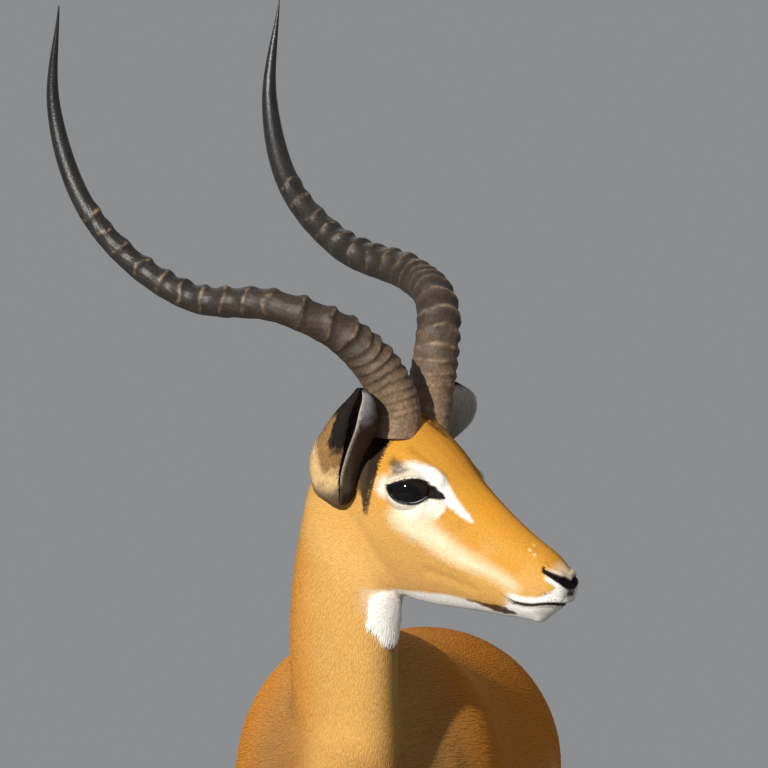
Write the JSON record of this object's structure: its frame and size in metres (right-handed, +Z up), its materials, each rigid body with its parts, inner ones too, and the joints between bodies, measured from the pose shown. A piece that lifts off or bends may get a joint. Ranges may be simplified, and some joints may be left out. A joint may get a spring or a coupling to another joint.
{
  "type": "impala antelope",
  "caption": "Life-size standing impala ram with ringed lyre-shaped horns, its head turned to its left, as a still museum model.",
  "frame": {"origin": "on the floor, under the middle of the animal's bounding box", "axes": "+Z up, the animal's chest faces -Y and its left side is towards +X"},
  "size_m": [0.5434, 0.9542, 1.5811],
  "materials": {
    "coat": "short rufous hair that lies flat, slightly glossy",
    "face": "very short tan and rufous hair",
    "pale_coat": "white and cream hair, soft",
    "horn": "dark ringed horn, fibrous at the base and smooth at the tip",
    "eye": "wet, near-black and very glossy",
    "hoof": "dark horn, satin"
  },
  "bodies": {
    "root": {"barrel": "coat", "chest": "coat", "ear_L": "coat", "ear_R": "coat", "eye_L": "eye", "eye_R": "eye", "foreleg_L_cannon": "coat", "foreleg_L_forearm": "coat", "foreleg_L_pastern": "coat", "foreleg_L_upper": "coat", "foreleg_R_cannon": "coat", "foreleg_R_forearm": "coat", "foreleg_R_pastern": "coat", "foreleg_R_upper": "coat", "head": "face", "hindleg_L_cannon": "coat", "hindleg_L_gaskin": "coat", "hindleg_L_pastern": "coat", "hindleg_L_thigh": "coat", "hindleg_R_cannon": "coat", "hindleg_R_gaskin": "coat", "hindleg_R_pastern": "coat", "hindleg_R_thigh": "coat", "hoof_fore_L_inner": "hoof", "hoof_fore_L_outer": "hoof", "hoof_fore_R_inner": "hoof", "hoof_fore_R_outer": "hoof", "hoof_hind_L_inner": "hoof", "hoof_hind_L_outer": "hoof", "hoof_hind_R_inner": "hoof", "hoof_hind_R_outer": "hoof", "horn_L": "horn", "horn_R": "horn", "lower_jaw": "pale_coat", "neck_lower": "coat", "neck_upper": "coat", "rump": "coat", "tail": "pale_coat"}
  },
  "joints": []
}
